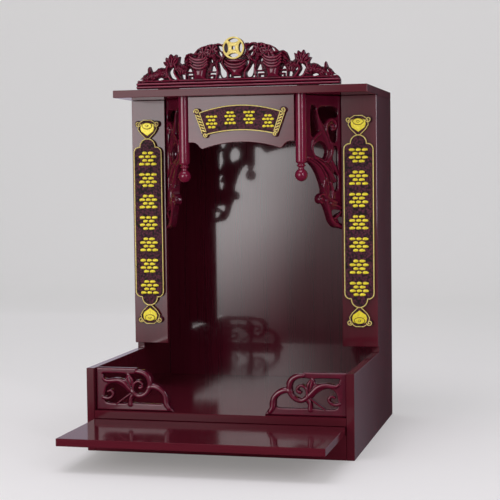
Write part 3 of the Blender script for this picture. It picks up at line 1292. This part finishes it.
def crest_outer_leaves(carving, low, top):
    """The leaf mounds, the spike and the lotus of the crest's outer part."""
    tuft(carving, (200, 13), 12, (35, 165, 6), 6, top - 3, low)
    tuft(carving, (191, 15), 17, (40, 150, 6), 6.5, top - 2, low)
    tuft(carving, (178, 17), 18, (45, 150, 6), 7, top - 1, low)
    tuft(carving, (186, 22), 10, (60, 170, 4), 5, top, low)
    carving.leaf((180.5, 28), (180.8, 47.5), 7, top - 1, low)
    tuft(carving, (170, 22), 14, (30, 140, 5), 6.5, top - 1, low)
    tuft(carving, (155, 22), 23, (28, 152, 7), 9, top, low)
    tuft(carving, (156, 25), 13, (30, 150, 5), 6.5, top + 1.5, low)
    tuft(carving, (143, 20), 15, (60, 130, 4), 6, top - 1, low)
    carving.band([(134, 48), (142, 44), (144, 35), (141, 27), (135, 18)], [5, 6, 5, 5, 7], top - 1, low)
    carving.band([(131, 50), (125, 44), (128, 36), (126, 28), (119, 18)], [5, 5, 5, 5, 6], top - 1, low)
    tuft(carving, (112, 24), 24, (55, 130, 6), 8, top, low)
    tuft(carving, (118, 36), 13, (20, 160, 6), 6, top + 1, low)
    tuft(carving, (106, 38), 12, (50, 200, 5), 6, top, low)
    for tip, wide in (((152.5, 55.5), 9), ((118, 65), 9), ((146.5, 64.5), 11), ((124.5, 70), 11),
                      ((136.5, 71.5), 12)):
        carving.leaf((133.5, 41), tip, wide, top - 1, low)
    for tip in ((142, 59), (127.5, 61), (134.5, 63)):
        carving.leaf((133.5, 42), tip, 10, top + 1.5, low)
    carving.dome(133.5, 45, 5, top + 2, low)


def crest_flowers(carving, low, top):
    """The shell leaf, the round flower and the foliage around it."""
    carving.leaf((108, 49), (88, 69), 19, top + 1, low, bend=-0.12, veins=6)
    carving.leaf((104, 44), (92, 56), 10, top, low, bend=0.1, veins=4)
    rosette(carving, 66, 69, ((15, 9, 9.5), (9.5, 7, 8.5), (5, 5, 6)), top + 1, low)
    rosette(carving, 47, 75, ((10, 7, 8), (5, 5, 6)), top + 1, low)
    carving.band([(58, 84), (70, 80.5), (79, 74.5), (85, 68)], [4, 4.5, 4.5, 4], top - 1, low)
    tuft(carving, (50, 58), 13, (50, 200, 7), 5.5, top, low)
    tuft(carving, (41, 66), 14, (60, 170, 5), 5.5, top - 1, low)
    tuft(carving, (57, 58), 9, (-20, 130, 5), 5, top - 1, low)
    tuft(carving, (44, 50), 12, (80, 210, 5), 5, top - 1, low)


def crest_middle(carving, low, top):
    """The three vessels, the middle one's mouth, the strands by the coin and the frets."""
    for strand, widths in (
            (((19, 87), (21, 77), (24, 68), (28, 60), (34, 52)), (5, 5, 6, 6, 4)),
            (((20, 80), (27, 84.5), (36, 86.5), (42, 83)), (4, 4.5, 5, 5)),
            (((24, 69), (31, 73), (37, 79), (42, 80)), (4, 4, 4.5, 5)),
            (((30, 60), (36, 63), (42, 69)), (4, 4.5, 4)),
            (((37, 52), (40, 44), (38, 32), (41, 19)), (5, 4.5, 5, 6)),
            (((20, 66), (26, 58), (28, 49), (24, 40), (18, 31), (17, 20)), (5, 5, 4, 4, 5, 6)),
            (((42, 31.6), (57, 31.6)), (3.2, 3.2)), (((46.3, 25), (57, 25)), (3.2, 3.2)),
            (((46.3, 19), (46.3, 25)), (3.2, 3.2)), (((89, 31.6), (103, 31.6)), (3.2, 3.2)),
            (((89, 25), (97.2, 25)), (3.2, 3.2)), (((97.2, 19), (97.2, 25)), (3.2, 3.2)),
            (((103.6, 18), (103.6, 34)), (3.4, 3.4)), (((40, 18), (40, 33)), (3, 3))):
        carving.band(strand, widths, top - 2, low)
    vessel(carving, 75, 61, 17.5, 12, 22, 4, CREST_VESSEL - 1, low)
    vessel(carving, 0, 50, 20.5, 9, 27, 2, CREST_VESSEL, low)
    mouth = [(-20, 52), (-12, 56), (0, 57), (12, 56), (20, 52), (12, 48.5), (0, 47.5), (-12, 48.5)]
    carving.pad(smooth_line(mouth, closed=True), CREST_VESSEL + 0.5, low, 4)


def coin_quarters(pairs):
    """The pairs (outwards, sideways) about the middle of the coin, in each of its four quarters."""
    for quarter in range(4):
        a = math.pi / 2 * quarter
        yield [(r * math.cos(a) - s * math.sin(a), COIN_Z + r * math.sin(a) + s * math.cos(a))
               for r, s in pairs]


def coin_carving(step):
    """Pierced coin: a ring and a square frame with a square hole between four openings."""
    carving = Carving((-COIN_RADIUS, COIN_Z - COIN_RADIUS), (COIN_RADIUS, COIN_Z + COIN_RADIUS), step)
    top = COIN_FRONT - COIN_BACK
    edge = top - 1.8
    carving.plate(arc_points(0, COIN_Z, COIN_RADIUS, 0, 352, 44), top - 1.2)
    for opening in coin_quarters((
            (14.6, -10.6), (17, -7), (18.5, -3), (18.9, 0), (18.5, 3), (17, 7), (14.6, 10.6),
            (12.2, 7.5), (10.9, 4), (10.5, 0), (10.9, -4), (12.2, -7.5))):
        carving.pierce(opening)
    hole = 3.3
    carving.pierce([(-hole, COIN_Z - hole), (hole, COIN_Z - hole), (hole, COIN_Z + hole),
                    (-hole, COIN_Z + hole)])
    carving.round_edges(0.8)
    ring = arc_points(0, COIN_Z, COIN_RADIUS - 1.6, 0, 360, 48)
    carving.band(ring, [3.0, 3.0], top, edge)
    corners = [(-4.6, -4.6), (4.6, -4.6), (4.6, 4.6), (-4.6, 4.6), (-4.6, -4.6)]
    for (ax, az), (bx, bz) in zip(corners, corners[1:]):
        carving.band([(ax, COIN_Z + az), (bx, COIN_Z + bz)], [2.0, 2.0], top, edge)
        carving.band([(ax, COIN_Z + az), (ax * 2.8, COIN_Z + az * 2.8)], [1.8, 2.6], top, edge)
    for bow in coin_quarters(((12.6, -10.5), (10.0, -5.5), (9.2, 0), (10.0, 5.5), (12.6, 10.5))):
        carving.band(bow, [1.8, 1.8], top, edge)
    return carving


def carved_mesh(carving, origin, right, outwards, mirror=False, warp=None, gilded=None, lift=0.0):
    """The mesh of a carving put in its place; mirror makes the one for the other side.

    warp bends its points, and gilded tells from the corners of a face whether that is gold.
    """
    points, faces, hollow = carving.skin()
    numbers = np.zeros(len(faces), np.int32)
    if gilded is not None:
        numbers = np.array([int(gilded(points[face])) for face in faces], np.int32)
    if warp is not None:
        points = warp(points)
    points[:, 2] += lift
    spots = placed(points, origin, right, outwards)
    if mirror:
        spots = spots * (-1, 1, 1)
        faces = mirrored_faces(faces)
    return mesh_from(spots, faces, material_index=numbers, hollow=hollow)


def add_carved_pair(context, nodes, carving, origin, right, outwards, warp=None):
    """Puts a carving in the place of the first node and its mirror image in that of the second."""
    for node, mirror in zip(nodes, (False, True)):
        mesh = carved_mesh(carving, origin, right, outwards, mirror, warp)
        new_object(node + "_carved", mesh, [carved_for(context)], "cabinet", [node])


# ---------------------------------------------------------------- turned posts
def lathe_mesh(profile, axis_x, axis_y, sides=64):
    """A closed turned shape from (radius, height) pairs, bottom first, in millimetres."""
    points, faces = [], []
    turn = 2 * np.pi * np.arange(sides) / sides
    rings = [p for p in profile if p[0] > 1e-6]
    for radius, height in rings:
        points += [(axis_x + radius * math.cos(a), axis_y + radius * math.sin(a), height) for a in turn]
    for k in range(len(rings) - 1):
        for i in range(sides):
            j = (i + 1) % sides
            faces.append([k * sides + i, k * sides + j, (k + 1) * sides + j, (k + 1) * sides + i])
    bottom, top = len(points), len(points) + 1
    points += [(axis_x, axis_y, profile[0][1]), (axis_x, axis_y, profile[-1][1])]
    last = (len(rings) - 1) * sides
    for i in range(sides):
        j = (i + 1) % sides
        faces.append([bottom, j, i])
        faces.append([top, last + i, last + j])
    return mesh_from(np.array(points) * MM, faces)


def post_profile():
    """Drop post from the bottom: ball, neck, bead, shoulder and straight shaft."""
    ball_z, ball_radius, shaft, shoulder = 525.0, 12.8, 11.0, 552.0
    ball = arc_points(0, ball_z, ball_radius, -90, 62, 22)
    ball[0] = (0, ball_z - ball_radius)
    neck = [(5.7, 539.2), (5.8, 540.5), (6.6, 541.4)]
    bead = arc_points(6.6, 543.8, 2.3, -80, 80, 8)
    rise = [(6.9, 546.4), (6.9, 547.2)]
    curve = arc_points(shaft - 3.6, shoulder, 3.6, -80, 0, 6)
    top = [(shaft, POST_HIGH.z - 0.4), (shaft - 0.4, POST_HIGH.z), (0, POST_HIGH.z)]
    return ball + neck + bead + rise + curve + top


# ---------------------------------------------------------------- operators
CAMERA_PLACE = (0.67285, -2.5699, 0.5275)
CAMERA_TURNS = ((14.044, "Z"), (-3.210, "X"), (0.697, "Y"), (90, "X"))
CAMERA_SENSOR = 36


class ALTAR_OT_stage(Operator):
    """Set up the camera, the pale floor and backdrop, and the soft studio lights"""

    bl_idname = "altar.stage"
    bl_label = "Stage"

    def execute(self, context):
        settings = context.scene.altar_stage
        context.scene.view_settings.view_transform = "Standard"
        self.add_camera(context, settings)
        self.add_floor(context)
        self.add_room(context, settings)
        self.add_panels(context, settings)
        self.add_windows(context, settings)
        return {"FINISHED"}

    def add_camera(self, context, settings):
        """A camera to the right of the middle, looking slightly down."""
        camera = bpy.data.objects.new("camera", bpy.data.cameras.new("camera"))
        camera.data.lens = settings.lens
        camera.data.sensor_width = CAMERA_SENSOR
        camera.data.clip_end = 50
        context.scene.collection.objects.link(camera)
        placing = Matrix.Translation(CAMERA_PLACE)
        for angle, axis in CAMERA_TURNS:
            placing = placing @ Matrix.Rotation(math.radians(angle), 4, axis)
        camera.matrix_world = placing
        context.scene.camera = camera

    def add_floor(self, context):
        """A floor that curves up into a backdrop, all one pale surface."""
        near, wall, height, radius, half_width = -9.0, 4.6, 7.0, 1.6, 9.0
        profile = [(near, 0.0)] + [(wall - radius + radius * math.sin(a), radius - radius * math.cos(a))
                                   for a in np.linspace(0, math.pi / 2, 13)] + [(wall, height)]
        points = [(x, y, z) for x in (-half_width, half_width) for y, z in profile]
        count = len(profile)
        faces = [[k, k + 1, count + k + 1, count + k][::-1] for k in range(count - 1)]
        mesh = mesh_from(points, faces)
        mesh.materials.append(stage_paint("stage_paint", to_linear("#dedddb")))
        floor = bpy.data.objects.new("stage_floor", mesh)
        floor.visible_glossy = False
        context.scene.collection.objects.link(floor)

    def add_room(self, context, settings):
        """Even light from all around, which polished surfaces don't mirror."""
        world = bpy.data.worlds.new("room")
        context.scene.world = world
        world.use_nodes = True
        world.cycles_visibility.glossy = False
        backdrop = world.node_tree.nodes["Background"]
        backdrop.inputs["Color"].default_value = (0.95, 0.95, 1.0, 1)
        backdrop.inputs["Strength"].default_value = settings.room_strength

    def add_panels(self, context, settings):
        """A card of soft light in front, to the left, and the wall behind.

        The card fades towards the middle and the floor. The wall is there only for polished
        surfaces to mirror: pale at its ends and dim in the middle.
        """
        for name, y, (left, right), (low, high), paint, mirrored_only in (
                ("window_card", -2.6, (-2.3, 0.0), (-0.35, 1.45),
                 card_light("card_light", to_linear("#fffcfd"), settings.window_power), False),
                ("window_wall", 2.3, (-3.2, 3.2), (-0.8, 2.2),
                 wall_light("wall_light", to_linear("#efe7f9"), 0.62), True)):
            inwards = [0, 3, 2, 1] if y < 0 else [0, 1, 2, 3]
            mesh = mesh_from([(left, 0, low), (right, 0, low), (right, 0, high), (left, 0, high)],
                             [inwards], smooth=False)
            mesh.materials.append(paint)
            panel = bpy.data.objects.new(name, mesh)
            panel.location = (0, y, 0)
            panel.visible_camera = False
            panel.visible_diffuse = not mirrored_only
            panel.visible_shadow = not mirrored_only
            context.scene.collection.objects.link(panel)

    def add_windows(self, context, settings):
        """Soft lights: a narrow one to the right and one above."""
        for name, place, aim, size, share in (
                ("window_right", (1.75, -1.85, 1.1), (0.1, 0.0, 0.5), (0.28, 1.6), 2.4),
                ("window_top", (-0.2, -0.9, 2.9), (0, 0.1, 0.4), (1.8, 1.4), 0.7)):
            light = bpy.data.lights.new(name, "AREA")
            light.shape = "RECTANGLE"
            light.size, light.size_y = size
            light.energy = settings.window_power * share * size[0] * size[1] * math.pi
            light.color = (0.96, 0.90, 1.0)
            made = bpy.data.objects.new(name, light)
            made.location = place
            aimed = Vector(aim) - Vector(place)
            made.rotation_euler = aimed.to_track_quat("-Z", "Y").to_euler()
            made.visible_camera = False
            context.scene.collection.objects.link(made)


class ALTAR_OT_boards(Operator):
    """Build the carcase boards, the shelf and its runners, with rounded arrises"""

    bl_idname = "altar.boards"
    bl_label = "Boards and shelf"

    upright = ("left_side_panel", "right_side_panel", "left_pillar_board", "right_pillar_board")
    level = ("top_board", "floor_board", "base_rail", "pull_out_shelf", "left_shelf_runner",
             "right_shelf_runner", "header_board")
    # Weight of the clear coat and mirror strength under it: as sprayed, on the back, and where it is dull.
    varnished, back_varnish = (0.35, 0.5), (0.9, 0.5)
    worn = {"floor_board": (0.0, 0.16), "pull_out_shelf": (0.0, 0.26), "top_board": (0.0, 0.28)}

    def execute(self, context):
        arris = context.scene.altar_shapes.arris
        for name in self.upright + self.level:
            axis = "Z" if name in self.upright else "X"
            lacquer = lacquer_for(context, axis, self.worn.get(name, self.varnished))
            mesh, body = arrised_board(name, arris)
            new_object(name + "_lacquered", mesh, [lacquer], body, [name])
        mesh, body = arrised_board("back_panel", arris)
        back = shared_material(board_lacquer, "back_lacquer", context.scene.altar_finish.back, "Z",
                               self.back_varnish)
        new_object("back_panel_lacquered", mesh, [back], body, ["back_panel"])
        return {"FINISHED"}


class ALTAR_OT_posts(Operator):
    """Build the two turned drop posts"""

    bl_idname = "altar.posts"
    bl_label = "Drop posts"

    def execute(self, context):
        for node in ("left_post", "right_post"):
            low, high = box_mm(node)
            mesh = lathe_mesh(post_profile(), (low.x + high.x) / 2, (low.y + high.y) / 2)
            new_object(node + "_turned", mesh, [carved_for(context)], "cabinet", [node])
        return {"FINISHED"}


class ALTAR_OT_plaques(Operator):
    """Build the two couplet plaques and the header plaque"""

    bl_idname = "altar.plaques"
    bl_label = "Gilded plaques"

    def execute(self, context):
        shape = context.scene.altar_shapes
        gold, rim = gold_for(context), rim_for(context)
        ground = shared_material(stippled_ground, "stippled_ground", context.scene.altar_finish.ground)
        for node, offset in (("left_couplet_plaque", 0), ("right_couplet_plaque", 3)):
            low, high = box_mm(node)
            mesh = stand_panel(couplet_mesh(offset, shape, gold, rim, ground),
                               (low.x + high.x) / 2, high.y)
            new_object(node + "_gilded", mesh, [ground, gold, rim], "cabinet", [node])
        mesh = stand_panel(banner_mesh(shape, gold, rim, ground), 0, BANNER_HIGH.y)
        new_object("header_plaque_gilded", mesh, [ground, gold, rim], "cabinet",
                   ["header_plaque"])
        return {"FINISHED"}


class ALTAR_OT_corner_brackets(Operator):
    """Carve the two openwork brackets on the tray front"""

    bl_idname = "altar.corner_brackets"
    bl_label = "Corner brackets"

    def execute(self, context):
        carving = corner_carving(context.scene.altar_shapes.carving_step / MM)
        low, high = box_mm("left_corner_bracket")
        origin = (low.x - GAP, high.y, low.z - GAP)
        add_carved_pair(context, ("left_corner_bracket", "right_corner_bracket"), carving, origin,
                        TO_RIGHT, TO_FRONT)
        return {"FINISHED"}


class ALTAR_OT_carved_brackets(Operator):
    """Carve the two slanting openwork brackets behind the posts"""

    bl_idname = "altar.carved_brackets"
    bl_label = "Carved brackets"

    def execute(self, context):
        run = BRACKET_END - BRACKET_START
        right = run.normalized()
        outwards = Vector((right.y, -right.x, 0))
        carving = bracket_carving(context.scene.altar_shapes.carving_step / MM, run.length)
        back_origin = BRACKET_START - outwards * BRACKET_THICK
        slope = outwards.x / right.x

        def mitred(points):
            """Slides the pillar end of the panel so that it lies flat against the pillar board."""
            share = np.clip((points[:, 0] - run.length + BRACKET_MITRE) / BRACKET_MITRE, 0, 1)
            points[:, 0] += share * (BRACKET_THICK - points[:, 2]) * slope
            return points

        add_carved_pair(context, ("right_carved_bracket", "left_carved_bracket"), carving, back_origin,
                        right, outwards, mitred)
        return {"FINISHED"}


class ALTAR_OT_crest(Operator):
    """Carve the crest and its gilded coin"""

    bl_idname = "altar.crest"
    bl_label = "Crest"

    def execute(self, context):
        step = context.scene.altar_shapes.carving_step / MM
        origin = ((CREST_LOW.x + CREST_HIGH.x) / 2, CREST_HIGH.y, CREST_LOW.z)
        ground = carved_mesh(crest_carving(step), origin, TO_RIGHT, TO_FRONT)
        gilded_from = (COIN_FRONT - COIN_BACK) * 0.6
        coin = carved_mesh(coin_carving(step * 0.7), origin, TO_RIGHT, TO_FRONT, lift=COIN_BACK,
                           gilded=lambda corners: corners[:, 2].min() > gilded_from)
        mesh = merged_mesh([ground, coin])
        new_object("crest_carved", mesh, [carved_for(context), rim_for(context)], "cabinet",
                   ["crest"])
        return {"FINISHED"}


# ---------------------------------------------------------------- panel and registration
OPERATORS = (ALTAR_OT_stage, ALTAR_OT_boards, ALTAR_OT_posts, ALTAR_OT_plaques,
             ALTAR_OT_corner_brackets, ALTAR_OT_carved_brackets, ALTAR_OT_crest)


class ALTAR_PT_panel(Panel):
    """Lists the settings and the steps that build the cabinet"""

    bl_idname = "ALTAR_PT_panel"
    bl_label = "Altar cabinet"
    bl_space_type = "VIEW_3D"
    bl_region_type = "UI"
    bl_category = "Altar cabinet"

    def draw(self, context):
        """The settings, then a button for each step."""
        for group in (context.scene.altar_finish, context.scene.altar_shapes, context.scene.altar_stage):
            box = self.layout.box()
            for name in group.bl_rna.properties.keys():
                if name not in {"rna_type", "name"}:
                    box.prop(group, name)
        for operator in OPERATORS:
            self.layout.operator(operator.bl_idname)


CLASSES = (AltarFinishSettings, AltarShapeSettings, AltarStageSettings) + OPERATORS + (ALTAR_PT_panel,)


def register():
    """Registers the classes and hangs the settings on the scene."""
    for cls in CLASSES:
        bpy.utils.register_class(cls)
    bpy.types.Scene.altar_finish = PointerProperty(type=AltarFinishSettings)
    bpy.types.Scene.altar_shapes = PointerProperty(type=AltarShapeSettings)
    bpy.types.Scene.altar_stage = PointerProperty(type=AltarStageSettings)


def unregister():
    """Takes the settings off the scene and unregisters the classes."""
    del bpy.types.Scene.altar_finish, bpy.types.Scene.altar_shapes, bpy.types.Scene.altar_stage
    for cls in reversed(CLASSES):
        bpy.utils.unregister_class(cls)


def main():
    """Builds everything and notes the box of the frame and of the finished object."""
    register()
    bpy.ops.altar.stage()
    bpy.ops.altar.boards()
    bpy.ops.altar.posts()
    bpy.ops.altar.plaques()
    bpy.ops.altar.corner_brackets()
    bpy.ops.altar.carved_brackets()
    bpy.ops.altar.crest()


if __name__ == "__main__":
    main()
